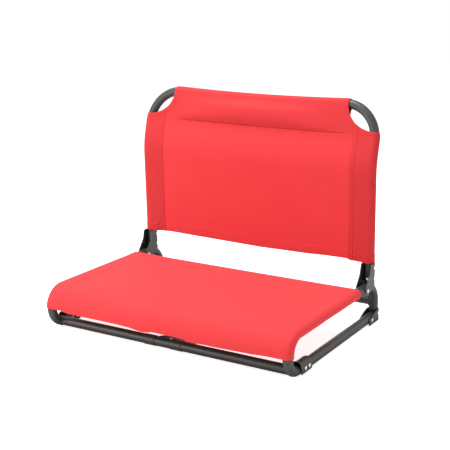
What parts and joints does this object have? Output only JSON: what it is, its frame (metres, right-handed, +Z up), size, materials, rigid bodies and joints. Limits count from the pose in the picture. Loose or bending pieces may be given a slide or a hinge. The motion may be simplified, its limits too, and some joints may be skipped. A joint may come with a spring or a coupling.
{
  "type": "folding stadium seat",
  "caption": "Low folding stadium seat: red canvas seat and back on a black bent-tube frame; the back folds forward on riveted hinge saddles and a webbing handle hangs on the front bar.",
  "frame": {"origin": "on the floor under the middle of the seat's box", "axes": "+X along the front bar towards the picture's right; +Y from the front edge towards the back; +Z up"},
  "size_m": [0.5582, 0.4068, 0.4538],
  "materials": {
    "frame": "charcoal black powder coat, semi-gloss",
    "rivets": "bright, domed heads",
    "canvas": "plain-woven red canvas, matt",
    "webbing": "black woven webbing, matt"
  },
  "bodies": {
    "base": {"front_bar": "frame", "rear_bar": "frame", "seat_panel": "canvas", "left_side_frame": "frame", "left_lower_tube": "frame", "left_front_saddle": "frame", "left_rear_saddle": "frame", "left_saddle_rivet_front": "rivets", "left_saddle_rivet_rear": "rivets", "left_rear_tube_rivet": "rivets", "left_rear_leg_rivet": "rivets", "left_pivot_rivet": "rivets", "right_side_frame": "frame", "right_lower_tube": "frame", "right_front_saddle": "frame", "right_rear_saddle": "frame", "right_saddle_rivet_front": "rivets", "right_saddle_rivet_rear": "rivets", "right_rear_tube_rivet": "rivets", "right_rear_leg_rivet": "rivets", "right_pivot_rivet": "rivets"},
    "back": {"back_frame": "frame", "back_panel": "canvas", "left_hinge_saddle": "frame", "left_hinge_web_rivet": "rivets", "right_hinge_saddle": "frame", "right_hinge_web_rivet": "rivets"},
    "handle": {"carry_handle": "webbing"}
  },
  "joints": [
    {"name": "back_fold", "type": "hinge", "parent": "base", "child": "back", "pos_m": [0, 0.12875, 0.0795], "axis": [1, 0, 0], "range_deg": [0, 87.8]},
    {"name": "handle_swing", "type": "hinge", "parent": "base", "child": "handle", "pos_m": [0, -0.16805, 0.0119], "axis": [1, 0, 0], "range_deg": [-170, 0]}
  ]
}
